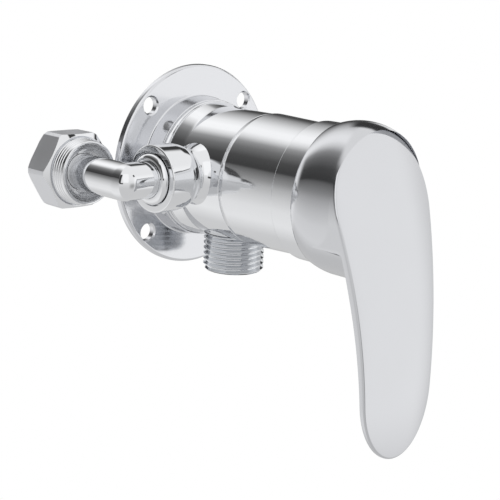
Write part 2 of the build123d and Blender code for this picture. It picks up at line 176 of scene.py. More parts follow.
class Finishes(Enum):
    """All finishes of the valve. One that isn't named for a slot of the record gives the slot it stands for."""

    # Bright nickel and chrome plate over polished brass: mirror bright, with hard dark and white bands.
    POLISHED_CHROME = Finish("polished_chrome_plate", "#e7e8ea", (0.015, 0.035), 1.0, patch_mm=9.0)
    # The same plate over a finely turned barrel: its bands of light and dark run softly into each other.
    BARREL_CHROME = Finish("plate_over_fine_turned_barrel", "#e5e6e8", (0.09, 0.12), 1.0, patch_mm=14.0, slot=PLATE)
    # The same plate over pressed sheet: the wall flange, whose reflections are a little blurred.
    SHEET_CHROME = Finish("plate_over_pressed_sheet", "#dcdde0", (0.11, 0.16), 1.0, patch_mm=11.0, slot=PLATE)
    # The same plate over milled flats: satin grey on the hexagons.
    MILLED_CHROME = Finish("plate_over_milled_flats", "#dddee1", (0.40, 0.46), 1.0, 5.0, 0.25, 0.002, slot=PLATE)
    # The same plate over a turned, unpolished surface: the bowls of the nuts, grey with fine rings.
    TURNED_CHROME = Finish(
        "plate_over_turned_brass", "#e2e3e5", (0.16, 0.22), 0.7, 3.0, 0.35, 0.003, (1.0, 3.0, 1.0), slot=PLATE
    )
    # The same plate over a cut pipe thread: a greyer glint, as the tool's marks stay in its flanks.
    THREAD_CHROME = Finish("plate_over_cut_thread", "#d8dadd", (0.04, 0.09), 1.0, patch_mm=3.0, slot=PLATE)
    # Chrome plate over a tumbled zinc casting: the same metal with softer, wider reflections.
    SATIN_CHROME = Finish("soft_polished_chrome_casting", "#d2d3d6", (0.10, 0.13), 1.0, patch_mm=16.0)
    # Machined steel of the set screws: grey, with fine turning marks.
    SCREW_STEEL = Finish("machined_screw_steel", "#8d8f92", (0.22, 0.32), 1.0, 2.0, 0.15, 0.004)
    # Bare turned brass inside: warm yellow with fine rings from the lathe.
    BARE_BRASS = Finish("turned_bare_brass", "#c9a25a", (0.2, 0.3), 1.0, 4.0, 0.25, 0.006, (0.1, 1.0, 0.1))
    # Moulded acetal of the cartridge's shell: off-white with a slight sheen.
    CARTRIDGE_PLASTIC = Finish("moulded_white_acetal", "#dcdad3", (0.4, 0.5), 0.0, 6.0, 0.5, 0.01)
    # Glass-filled nylon of the moving pieces: dark grey and slightly mottled.
    CARRIER_PLASTIC = Finish("moulded_grey_nylon", "#3a3c40", (0.42, 0.55), 0.0, 3.0, 0.3, 0.012)
    # Lapped alumina discs: ivory white, very flat and nearly mirror smooth.
    CERAMIC = Finish("lapped_alumina_ceramic", "#ece9e1", (0.12, 0.2), patch_mm=5.0, shade=0.02, coat=0.3)
    # Moulded nitrile rubber: deep black, dull, with a fine skin.
    SEAL_RUBBER = Finish("moulded_black_rubber", "#17171a", (0.55, 0.7), 0.0, 2.0, 0.2, 0.01)


class Paint(dict):
    """Materials by finish, each made the first time it is asked for."""

    def __missing__(self, finish: Finishes) -> Material:
        """Makes a finish's material."""
        self[finish] = finish.value.build()
        return self[finish]

    def coat(self, thing: Object, finish: Finishes) -> None:
        """Puts one finish on an object, in place of what it had."""
        thing.data.materials.clear()
        thing.data.materials.append(self[finish])

    def coat_nodes(self, nodes: dict[str, Object], record: dict) -> None:
        """Gives every CAD node the finish of its slot.

        Args:
            nodes: the frame's CAD nodes by name.
            record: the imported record, whose subparts name the slots.
        """
        slots = {part["node"]: part["material_slot"] for part in record["subparts"]}
        for name, node in nodes.items():
            finish = Finishes[slots[name].upper()]
            self.coat(node, finish)
            LOG.info("node %s: %s", name, finish.value.name)


@dataclass(frozen=True)
class Card:
    """Soft rectangle of light or shade in the studio, seen only in reflections."""

    toward: tuple[float, float, float]
    half: tuple[float, float]
    soft: float
    strength: float


@dataclass(frozen=True)
class Studio:
    """Camera, floor and the surroundings that the chrome reflects.

    The tunnel's stops give the brightness at angles round the valve's axis, in degrees from straight up. The spans
    are shares of the ray's direction: over the wall span the walls before the valve go from one wall level to the
    other, over the front span the tunnel takes over from them, and over the end span its lit end takes over.
    """

    place_mm: tuple[float, float, float] = (-260.40, -286.02, 63.56)
    right: tuple[float, float, float] = (0.70728, -0.70548, 0.04535)
    up: tuple[float, float, float] = (0.13616, 0.19889, 0.97052)
    lens_mm: float = 79.28
    sensor_mm: float = 36.0
    sight_m: tuple[float, float] = (0.01, 20.0)
    floor_drop_mm: float = 190.0
    floor_half_mm: float = 2500.0
    fibre_mm: float = 1.11
    paper: tuple[float, float] = (0.86, 0.9)
    even: float = 0.8
    tunnel: tuple[tuple[float, float], ...] = (
        (-180, 0.74), (-140, 0.68), (-112, 0.50), (-98, 0.30), (-86, 0.08), (-71, 0.07), (-58, 0.28), (-41, 0.62),
        (-24, 1.00), (-11, 1.17), (0, 1.15), (9, 0.87), (19, 0.36), (29, 0.20), (45, 0.08), (62, 0.05),
        (64, 0.14), (79, 0.33), (89, 0.54), (104, 0.74), (124, 0.93), (150, 0.98), (170, 0.82), (180, 0.74),
    )
    wall_span: tuple[float, float] = (-0.6, 0.55)
    wall_levels: tuple[float, float] = (0.70, 1.0)
    front_lean: float = 0.45
    front_span: tuple[float, float] = (0.25, 0.13)
    end_span: tuple[float, float] = (0.87, 0.95)
    end_level: float = 1.1
    card_front: float = 0.02
    cards: tuple[Card, ...] = (
        Card((0.70, -0.70, 0.0), (0.50, 0.55), 0.40, 1.12),
        Card((0.10, -0.96, -0.24), (0.26, 0.22), 0.40, 0.42),
        Card((-0.464, -0.687, 0.559), (0.30, 0.50), 0.12, 1.15),
        Card((-0.835, -0.287, 0.469), (0.12, 0.46), 0.08, 0.05),
        Card((-0.883, -0.469, 0.017), (0.20, 0.06), 0.04, 0.06),
        Card((0.382, -0.689, 0.616), (0.09, 0.09), 0.04, 0.05),
        Card((0.902, -0.242, 0.358), (0.10, 0.10), 0.05, 0.06),
        Card((0.764, 0.389, 0.515), (0.25, 0.25), 0.13, 0.05),
    )

    def build(self) -> None:
        """Sets up the camera, the surroundings and the floor."""
        self.add_camera()
        self.add_world()
        self.add_floor()
        bpy.context.scene.view_settings.view_transform = "Standard"

    def add_camera(self) -> None:
        """Places the camera at the photograph's angle."""
        data = bpy.data.cameras.new("camera")
        data.sensor_width = self.sensor_mm
        data.lens = self.lens_mm
        data.clip_start, data.clip_end = self.sight_m
        camera = bpy.data.objects.new("camera", data)
        right = Vector(self.right).normalized()
        up = Vector(self.up)
        up = (up - right * up.dot(right)).normalized()
        turn = Matrix((right, up, right.cross(up))).transposed()
        camera.matrix_world = Matrix.Translation(Vector(self.place_mm) * MM) @ turn.to_4x4()
        bpy.context.scene.collection.objects.link(camera)
        bpy.context.scene.camera = camera

    def add_world(self) -> None:
        """Makes the plain surroundings: white to the camera, even light, and soft cards in reflections."""
        world = bpy.data.worlds.new("studio")
        tree = blank_tree(world)
        look = add_node(tree, "TexCoord").outputs["Generated"]
        level = self.add_tunnel(tree, look)
        for card in self.cards:
            level = self.add_card(tree, look, card, level)
        rays = add_node(tree, "LightPath").outputs
        shown = add_node(tree, "Background", {"Color": WHITE, "Strength": self.even}).outputs[0]
        for ray, colour in (("Is Glossy Ray", level), ("Is Camera Ray", WHITE)):
            light = add_node(tree, "Background", {"Color": colour, "Strength": 1.0}).outputs[0]
            shown = add_node(tree, "MixShader", {0: rays[ray], 1: shown, 2: light}).outputs[0]
        add_node(tree, "OutputWorld", {"Surface": shown})
        bpy.context.scene.world = world

    def add_tunnel(self, tree: NodeTree, look: NodeSocket) -> NodeSocket:
        """Hangs long soft boxes and flags along the valve's axis, behind it, and plain walls before it.

        Args:
            tree: the world's node tree.
            look: direction of the ray.

        Returns:
            Brightness in that direction.
        """
        parts = add_node(tree, "SeparateXYZ", {"Vector": look}).outputs
        turn = add_node(tree, "Math", {0: parts["X"], 1: parts["Z"]}, operation="ARCTAN2")
        circle = {"Value": turn.outputs[0], "From Min": math.pi, "From Max": -math.pi}
        share = add_node(tree, "MapRange", circle)
        band = add_node(tree, "ValToRGB", {"Fac": share.outputs["Result"]})
        stops = band.color_ramp.elements
        for at, (angle, level) in enumerate(self.tunnel):
            stop = stops[at] if at in (0, 1) else stops.new((angle + 180) / 360)
            stop.position = (angle + 180) / 360
            stop.color = (level, level, level, 1.0)
        (start, end), (low, high) = self.wall_span, self.wall_levels
        heights = {"Value": parts["Z"], "From Min": start, "From Max": end, "To Min": low, "To Max": high}
        walls = add_node(tree, "MapRange", heights, interpolation_type="SMOOTHSTEP")
        slant = {0: parts["X"], 1: -self.front_lean, 2: parts["Y"]}
        lean = add_node(tree, "Math", slant, operation="MULTIPLY_ADD")
        shown = band.outputs["Color"]
        for value, (start, end), other in (
            (lean.outputs[0], self.front_span, walls.outputs["Result"]),
            (parts["Y"], self.end_span, self.end_level),
        ):
            reach = {"Value": value, "From Min": start, "From Max": end}
            share = add_node(tree, "MapRange", reach, interpolation_type="SMOOTHSTEP")
            blend = {"Factor": share.outputs["Result"], "A": shown, "B": other}
            shown = add_node(tree, "Mix", blend, data_type="FLOAT").outputs["Result"]
        return shown

    def add_card(self, tree: NodeTree, look: NodeSocket, card: Card, below: NodeSocket) -> NodeSocket:
        """Lays one soft card over the brightness found so far.

        Args:
            tree: the world's node tree.
            look: direction of the ray.
            card: the card's place, size and strength.
            below: brightness without the card.

        Returns:
            Brightness with the card.
        """
        toward = Vector(card.toward).normalized()
        across = toward.cross(Vector(UP)).normalized()
        upright = Matrix((across, across.cross(toward), -toward)).to_euler()
        turned = add_node(tree, "Mapping", {"Vector": look, "Rotation": upright}, vector_type="VECTOR")
        parts = add_node(tree, "SeparateXYZ", {"Vector": turned.outputs["Vector"]}).outputs
        share = add_node(tree, "Math", {0: parts["Z"], 1: -self.card_front}, operation="LESS_THAN")
        for axis, half in zip("XY", card.half):
            offset = add_node(tree, "Math", {0: parts[axis], 1: parts["Z"]}, operation="DIVIDE")
            size = add_node(tree, "Math", {0: offset.outputs[0]}, operation="ABSOLUTE")
            start, end = half + card.soft / 2, half - card.soft / 2
            border = {"Value": size.outputs[0], "From Min": start, "From Max": end}
            edge = add_node(tree, "MapRange", border, interpolation_type="SMOOTHSTEP")
            both = {0: edge.outputs["Result"], 1: share.outputs[0]}
            share = add_node(tree, "Math", both, operation="MULTIPLY")
        blend = {"Factor": share.outputs[0], "A": below, "B": card.strength}
        return add_node(tree, "Mix", blend, data_type="FLOAT").outputs["Result"]

    def add_floor(self) -> None:
        """Lays a plain pale floor far below the valve: matte paper, white to the camera and clear in reflections."""
        bm = bmesh.new()
        bmesh.ops.create_grid(bm, x_segments=1, y_segments=1, size=self.floor_half_mm * MM)
        bmesh.ops.translate(bm, verts=bm.verts, vec=(0, 0, -self.floor_drop_mm * MM))
        floor = new_object("floor", bm)
        material = bpy.data.materials.new("pale_floor_paper")
        tree = blank_tree(material)
        place = add_node(tree, "TexCoord").outputs["Object"]
        grain = {"Vector": place, "Scale": 1 / (self.fibre_mm * MM), "Detail": 3.0}
        fibres = add_node(tree, "TexNoise", grain).outputs["Fac"]
        low, high = self.paper
        paper = add_node(tree, "MapRange", {"Value": fibres, "To Min": low, "To Max": high})
        shown = add_node(tree, "BsdfDiffuse", {"Color": paper.outputs["Result"]}).outputs[0]
        clear = add_node(tree, "BsdfTransparent").outputs[0]
        white = add_node(tree, "Emission", {"Color": WHITE, "Strength": 1.0}).outputs[0]
        rays = add_node(tree, "LightPath").outputs
        for ray, other in (("Is Glossy Ray", clear), ("Is Camera Ray", white)):
            shown = add_node(tree, "MixShader", {0: rays[ray], 1: shown, 2: other}).outputs[0]
        add_node(tree, "OutputMaterial", {"Surface": shown})
        floor.data.materials.append(material)


def new_object(name: str, bm: BMesh) -> Object:
    """Turns a mesh under construction into an object at the origin, and frees it.

    Args:
        name: name of the object.
        bm: its mesh.

    Returns:
        The object.
    """
    bmesh.ops.recalc_face_normals(bm, faces=bm.faces)
    data = bpy.data.meshes.new(name)
    bm.to_mesh(data)
    bm.free()
    thing = bpy.data.objects.new(name, data)
    bpy.context.scene.collection.objects.link(thing)
    return thing


def arc(
    centre: Sequence[float], half: Sequence[float], start: float, end: float, count: int
) -> list[tuple[float, float]]:
    """Gives points along a part of an ellipse.

    Args:
        centre: its centre.
        half: its two half widths, negative where it runs the other way.
        start: angle of the first point, in degrees.
        end: angle of the last point.
        count: steps between them.

    Returns:
        The points, with both ends.
    """
    angles = [math.radians(start + (end - start) * i / count) for i in range(count + 1)]
    return [(centre[0] + half[0] * math.cos(a), centre[1] + half[1] * math.sin(a)) for a in angles]


def circle_through(*points: Sequence[float]) -> tuple[Vector, float]:
    """Finds the circle through three points of a plane.

    Args:
        points: the three points.

    Returns:
        Its centre and its radius.
    """
    a, b, c = (Vector(p) for p in points)
    d = 2 * ((b - a).x * (c - a).y - (b - a).y * (c - a).x)
    one, two = b.length_squared - a.length_squared, c.length_squared - a.length_squared
    centre = Vector(((one * (c - a).y - two * (b - a).y) / d, (two * (b - a).x - one * (c - a).x) / d))
    return centre, (a - centre).length


def steps_to(start: float, end: float, count: int) -> list[float]:
    """Gives even steps that lead from a start to an end, without the start."""
    return [start + (end - start) * i / count for i in range(1, count + 1)]


def close_up(bm: BMesh, distance: float = 1e-6) -> None:
    """Merges doubles, drops faces with no area and turns the normals outwards.

    Args:
        bm: the mesh.
        distance: how near doubles lie, in metres.
    """
    bmesh.ops.remove_doubles(bm, verts=bm.verts, dist=distance)
    bmesh.ops.dissolve_degenerate(bm, edges=bm.edges, dist=distance / 10)
    bmesh.ops.recalc_face_normals(bm, faces=bm.faces)


def lathe(corners: Sequence[Sequence[float]], steps: int = STEPS) -> BMesh:
    """Turns a closed profile about Z.

    Args:
        corners: radius and place along the axis of each corner in order, then its rounding where it has one.
        steps: facets round the axis.

    Returns:
        The turned mesh, in metres.
    """
    bm = bmesh.new()
    verts = [bm.verts.new((corner[0] * MM, 0, corner[1] * MM)) for corner in corners]
    for i, corner in enumerate(corners):
        if corner[0] or corners[i - 1][0]:
            bm.edges.new((verts[i - 1], verts[i]))
    for vert, (_, _, *rounding) in zip(verts, corners):
        for size in rounding:
            bmesh.ops.bevel(
                bm, geom=[vert], offset=size * MM, segments=5, profile=0.5, affect="VERTICES", material=-1
            )
    line = bm.verts[:] + bm.edges[:]
    bmesh.ops.spin(bm, geom=line, cent=ORIGIN, axis=UP, angle=2 * math.pi, steps=steps, use_merge=True)
    close_up(bm)
    return bm


def placed(origin_mm: Sequence[float], toward: Sequence[float]) -> Matrix:
    """Gives the matrix that sets a turned piece at a point.

    Args:
        origin_mm: the point.
        toward: where the piece's Z points.

    Returns:
        The matrix.
    """
    axis = Vector(toward).normalized()
    across = Vector((0, 1, 0)) if abs(axis.x) > 0.9 else Vector((1, 0, 0))
    turn = Matrix((across, axis.cross(across), axis)).transposed()
    return Matrix.Translation(Vector(origin_mm) * MM) @ turn.to_4x4()


def moved(bm: BMesh, origin_mm: Sequence[float], toward: Sequence[float]) -> BMesh:
    """Sets a turned mesh at a point, with its Z along a direction, and gives it back."""
    bmesh.ops.transform(bm, matrix=placed(origin_mm, toward), verts=bm.verts)
    return bm


def join(target: BMesh, other: BMesh) -> None:
    """Adds another mesh to the target, and frees it.

    Args:
        target: the mesh that grows.
        other: the mesh that is added.
    """
    data = bpy.data.meshes.new("part")
    other.to_mesh(data)
    other.free()
    target.from_mesh(data)
    bpy.data.meshes.remove(data)


def combined(blank: BMesh, tools: Sequence[BMesh], operation: str = "DIFFERENCE") -> BMesh:
    """Cuts a blank with tools, or keeps what they share.

    Args:
        blank: the mesh that is cut.
        tools: the cutting meshes.
        operation: DIFFERENCE or INTERSECT.

    Returns:
        The mesh that is left.
    """
    thing = new_object("blank", blank)
    cutters = [new_object("tool", tool) for tool in tools]
    for cutter in cutters:
        step = thing.modifiers.new("cut", "BOOLEAN")
        step.operation = operation
        step.solver = "EXACT"
        step.object = cutter
    graph = bpy.context.evaluated_depsgraph_get()
    result = bmesh.new()
    result.from_mesh(thing.evaluated_get(graph).to_mesh())
    for spare in [thing, *cutters]:
        data = spare.data
        bpy.data.objects.remove(spare)
        bpy.data.meshes.remove(data)
    close_up(result)
    return result


def bar(radius: float, start: float, end: float, sides: int = 64, turn: float = 0.0) -> BMesh:
    """Makes a prism or cylinder along Z.

    Args:
        radius: radius over its corners, in millimetres.
        start: place where it begins.
        end: place where it ends.
        sides: number of its sides.
        turn: angle of its first corner.

    Returns:
        The bar's mesh.
    """
    bm = bmesh.new()
    middle = Matrix.Translation((0, 0, (start + end) / 2 * MM)) @ Matrix.Rotation(turn, 4, "Z")
    sizes = {"radius1": radius * MM, "radius2": radius * MM, "depth": (end - start) * MM}
    bmesh.ops.create_cone(bm, cap_ends=True, segments=sides, matrix=middle, **sizes)
    return bm


def thread(
    crest: float, root: float, pitch: float, start: float, end: float, clip: float = 0.9, steps: int = 96
) -> BMesh:
    """Winds a pipe thread about Z, run out over a cone at its far end.

    Args:
        crest: radius over the crests, in millimetres.
        root: radius in the roots.
        pitch: distance between crests.
        start: place where the thread begins.
        end: place where it ends.
        clip: depth of the lead-in chamfer at the end.
        steps: facets in one turn.

    Returns:
        The thread's surface, open at both ends.
    """
    bm = bmesh.new()
    turns = math.ceil((end - start) / pitch) + 2
    shape = ((0.0, root), (0.08, root), (0.44, crest), (0.56, crest), (0.92, root), (1.0, root))
    verts = [bm.verts.new((r * MM, 0, (start + (share - 1) * pitch) * MM)) for share, r in shape]
    for pair in zip(verts, verts[1:]):
        bm.edges.new(pair)
    line, climb = bm.verts[:] + bm.edges[:], (0, 0, pitch * MM / steps)
    sweep = {"angle": 2 * math.pi * turns, "steps": steps * turns}
    bmesh.ops.spin(bm, geom=line, cent=ORIGIN, axis=UP, dvec=climb, **sweep)
    inward = root > crest
    for vert in bm.verts:
        along = min(max(vert.co.z / MM, start), end)
        radius = math.hypot(vert.co.x, vert.co.y) / MM
        slope = max(0.0, along - (end - clip))
        fitted = max(radius, crest + slope) if inward else min(radius, crest - slope)
        vert.co *= fitted / radius
        vert.co.z = along * MM
    close_up(bm, 2e-6)
    return bm


def skin(rows: Sequence[Sequence[Vector]]) -> BMesh:
    """Extrudes a closed loop through rows of points.

    Args:
        rows: points of each row, in metres, as many in every row.

    Returns:
        The skin over the rows, with its doubles merged.
    """
    bm = bmesh.new()
    loop = list(bmesh.ops.create_circle(bm, segments=len(rows[0]), radius=1.0)["verts"])
    edges = bm.edges[:]
    for vert, spot in zip(loop, rows[0]):
        vert.co = spot
    for row in rows[1:]:
        made = bmesh.ops.extrude_edge_only(bm, edges=edges)["geom"]
        fresh = {g for g in made if isinstance(g, BMVert)}
        edges = [g for g in made if isinstance(g, BMEdge) and set(g.verts) <= fresh]
        loop = [next(e.other_vert(v) for e in v.link_edges if e.other_vert(v) in fresh) for v in loop]
        for vert, spot in zip(loop, row):
            vert.co = spot
    close_up(bm)
    return bm


@dataclass
class Piece:
    """A sub-assembly of fine meshes that stand for CAD nodes. All sizes are in millimetres."""

    paint: Paint

    def place(
        self, name: str, bm: BMesh, finish: Finishes, body: Body, node: str, angle: float = 30.0
    ) -> Object:
        """Turns a mesh into a shaded object that rides on its body and replaces its node.

        Args:
            name: name of the object.
            bm: its mesh.
            finish: its finish.
            body: the body it rides on.
            node: the CAD node that it replaces.
            angle: edges over this many degrees stay sharp.

        Returns:
            The object.
        """
        thing = new_object(name, bm)
        thing.data.shade_smooth()
        thing.data.set_sharp_from_angle(angle=math.radians(angle))
        even = thing.modifiers.new("even_normals", "WEIGHTED_NORMAL")
        even.keep_sharp = True
        even.weight = 80
        self.paint.coat(thing, finish)
        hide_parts(node)
        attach(thing, body.value)
        LOG.info("%s: %d faces for %s on %s", name, len(thing.data.polygons), node, body.value)
        return thing


@dataclass
class WallFlange(Piece):
    """Round plate on the wall with its cup and four screw holes."""

    radius: float = 35.0
    thickness: float = 2.5
    edge: float = 1.2
    hole_r: float = 2.9
    hole_pitch_r: float = 30.7
    sink: float = 0.5
    cup_bore_r: float = 20.15
    cup_base_r: float = 24.3
    cup_end_r: float = 23.6
    cup_end: float = 9.0
    screw_r: float = 2.4
    screw_span: tuple[float, float] = (-30.0, -15.0)

    def build(self) -> None:
        """Turns the plate and its cup, then drills the holes."""
        front, sunk = self.thickness, self.thickness + self.sink
        blank = lathe([
            (self.cup_bore_r, 0), (self.radius, 0, 0.25), (self.radius, front, self.edge),
            (self.cup_base_r, front, 0.5), (self.cup_end_r, self.cup_end, 0.3),
            (self.cup_bore_r, self.cup_end, 0.15),
        ])
        mouth_r = self.hole_r + 2 * self.sink
        hole = ((0, -1), (self.hole_r, -1), (self.hole_r, front - self.sink), (mouth_r, sunk), (0, sunk))
        places = arc((0, 0), (self.hole_pitch_r, self.hole_pitch_r), 45, 315, 3)
        tools = [moved(lathe(hole, 48), (x, 0, height), FORWARD) for x, height in places]
        middle = -(self.thickness + self.cup_end) / 2
        tools.append(moved(bar(self.screw_r, *self.screw_span, 40), (0, middle, 0), UP))
        bm = combined(moved(blank, ORIGIN, FORWARD), tools)
        self.place("flange_plate", bm, Finishes.SHEET_CHROME, Body.VALVE, "wall_flange")


@dataclass
class TurnedTrim(Piece):
    """Seam ring, front sleeve and trim ring, turned about the valve's axis."""

    seam_bore_r: float = 20.15
    seam_r: float = 23.15
    seam_start: float = 9.0
    seam_end: float = 11.4
    groove: float = 0.45
    sleeve_bore_r: float = 20.45
    sleeve_back_r: float = 22.15
    sleeve_front_r: float = 21.35
    sleeve_start: float = 36.5
    sleeve_end: float = 60.2
    bevel_depth: float = 0.42
    bevel_length: float = 1.9
    ring_r: float = 22.4
    ring_end: float = 69.0
    ring_bore_r: float = 19.9
    ring_window_r: float = 10.5
    ring_wall: float = 2.2
    spigot_r: float = 20.3
    spigot_start: float = 58.0

    def build(self) -> None:
        """Turns all three rings."""
        middle = (self.seam_start + self.seam_end) / 2
        inside = self.ring_end - self.ring_wall
        for name, node, corners in (
            ("seam_trim", "seam_ring", (
                (self.seam_bore_r, self.seam_start), (self.seam_r, self.seam_start, 0.2),
                (self.seam_r, middle - self.groove), (self.seam_r - self.groove, middle),
                (self.seam_r, middle + self.groove), (self.seam_r, self.seam_end, 0.2),
                (self.seam_bore_r, self.seam_end),
            )),
            ("barrel_sleeve", "front_sleeve", (
                (self.sleeve_bore_r, self.sleeve_start, 0.1),
                (self.sleeve_back_r - self.bevel_depth, self.sleeve_start, 0.15),
                (self.sleeve_back_r, self.sleeve_start + self.bevel_length, 0.25),
                (self.sleeve_front_r, self.sleeve_end, 0.15), (self.sleeve_bore_r, self.sleeve_end),
            )),
            ("lever_trim", "trim_ring", (
                (self.ring_bore_r, self.spigot_start), (self.spigot_r, self.spigot_start),
                (self.spigot_r, self.sleeve_end), (self.ring_r, self.sleeve_end, 0.4),
                (self.ring_r, self.ring_end, 0.4), (self.ring_window_r, self.ring_end, 0.3),
                (self.ring_window_r, inside, 0.2), (self.ring_bore_r, inside),
            )),
        ):
            bm = moved(lathe(corners, 256), ORIGIN, FORWARD)
            self.place(name, bm, Finishes.BARREL_CHROME, Body.VALVE, node)


@dataclass
class ValveBody(Piece):
    """Cast body: the barrel with its outlet hole, and both arms laid onto it."""

    spigot_r: float = 20.0
    spigot_start: float = 1.5
    back: float = 11.4
    back_r: float = 23.0
    neck_end: float = 16.4
    radius: float = 21.8
    shoulder: float = 36.5
    bonnet_r: float = 20.3
    bonnet_end: float = 57.5
    chamber_r: float = 17.7
    chamber_floor: float = 34.5
    nut_bore_r: float = 18.6
    nut_seat: float = 54.0
    outlet_hole_r: float = 10.77
    outlet_hole_top: float = 17.0
    drill_end: float = 30.0
    arm_station: float = 22.8
    arm_height: float = 1.5
    waist_r: float = 8.4
    waist: float = 23.9
    waist_lip: float = 0.25
    root_r: float = 10.1
    root_rows: int = 8
    root_sink: float = 0.02
    ball_r: float = 10.85
    ball_centre: float = 30.7
    mouth: float = 37.9
    pocket_r: float = 8.6
    pocket_floor: float = 28.5
    bore_r: float = 5.5
    bore_start: float = 12.0

    def build(self) -> None:
        """Turns the barrel, bores the outlet, and adds the arms."""
        barrel = lathe(
            [
                (0, self.spigot_start), (self.spigot_r, self.spigot_start, 0.3), (self.spigot_r, self.back),
                (self.back_r, self.back, 0.25), (self.radius, self.neck_end, 0.6),
                (self.radius, self.shoulder, 0.15), (self.bonnet_r, self.shoulder),
                (self.bonnet_r, self.bonnet_end), (self.nut_bore_r, self.bonnet_end),
                (self.nut_bore_r, self.nut_seat), (self.chamber_r, self.nut_seat),
                (self.chamber_r, self.chamber_floor), (0, self.chamber_floor),
            ],
            256,
        )
        drill = bar(self.outlet_hole_r, self.outlet_hole_top, self.drill_end, 96)
        moved(drill, (0, -self.arm_station, 0), DOWN)
        bm = combined(moved(barrel, ORIGIN, FORWARD), [drill])
        for side in Side:
            join(bm, self.arm(side))
        self.place("body_casting", bm, Finishes.POLISHED_CHROME, Body.VALVE, "valve_body")

    def arm(self, side: Side) -> BMesh:
        """Turns one arm and lays its root onto the barrel.

        The root's rows are turned at negative places, which number them, and are then moved to where they lie
        between the barrel's surface and the waist.

        Args:
            side: side of the valve.

        Returns:
            The arm's mesh, in place.
        """
        corners = [(self.bore_r, self.bore_start)]
        for i in range(self.root_rows + 1):
            share = math.sin(math.pi / 2 * i / self.root_rows)
            corners.append((self.root_r - (self.root_r - self.waist_r) * share, -1 - i))
        first = math.degrees(math.acos((self.waist_r + self.waist_lip) / self.ball_r))
        corners += arc((0, self.ball_centre), (self.ball_r, self.ball_r), -first, 0, 15)
        corners += [
            (self.ball_r, self.mouth, 0.5), (self.pocket_r, self.mouth, 0.15),
            (self.pocket_r, self.pocket_floor), (self.bore_r, self.pocket_floor),
        ]
        bm = lathe(corners)
        place = placed((0, -self.arm_station, self.arm_height), (side.value, 0, 0))
        for vert in bm.verts:
            if vert.co.z < 0:
                share = (-vert.co.z / MM - 1) / self.root_rows
                vert.co.z = 0
                there = place @ vert.co / MM
                edge = self.barrel_edge(-there.y, there.z)
                vert.co.z = (edge + (self.waist - edge) * share) * MM
        bmesh.ops.transform(bm, matrix=place, verts=bm.verts)
        return bm

    def barrel_edge(self, station: float, height: float) -> float:
        """Finds how far out the barrel's surface lies.

        Args:
            station: distance from the wall.
            height: height over the valve's axis.

        Returns:
            Distance from the axis's upright plane, a little under the surface.
        """
        share = min(max((station - self.back) / (self.neck_end - self.back), 0), 1)
        radius = self.back_r + (self.radius - self.back_r) * share
        return math.sqrt(radius**2 - height**2) - self.root_sink


@dataclass
class Outlet(Piece):
    """Threaded nipple below the body, for the shower hose. Its places are depths below the valve's axis."""

    bore_r: float = 7.0
    shank_r: float = 9.8
    shank_top: float = 13.0
    rim_r: float = 10.6
    rim_top: float = 17.0
    rim_end: float = 20.1
    thread_top: float = 20.3
    end: float = 33.4
    crest_r: float = 10.478
    root_r: float = 9.316
    root_overlap: float = 0.08
    recess: float = 0.05
    pitch: float = 1.814
    station: float = 22.8

    def build(self) -> None:
        """Turns the nipple's core and winds its pipe thread."""
        core_r = self.root_r - self.root_overlap
        core = lathe([
            (self.bore_r, self.shank_top), (self.shank_r, self.shank_top), (self.shank_r, self.rim_top),
            (self.rim_r, self.rim_top), (self.rim_r, self.rim_end, 0.25), (core_r, self.rim_end, 0.1),
            (core_r, self.end, 0.2), (self.bore_r, self.end, 0.4),
        ])
        join(core, thread(self.crest_r, self.root_r, self.pitch, self.thread_top, self.end - self.recess))
        moved(core, (0, -self.station, 0), DOWN)
        self.place("outlet_stub", core, Finishes.THREAD_CHROME, Body.VALVE, "outlet_nipple")


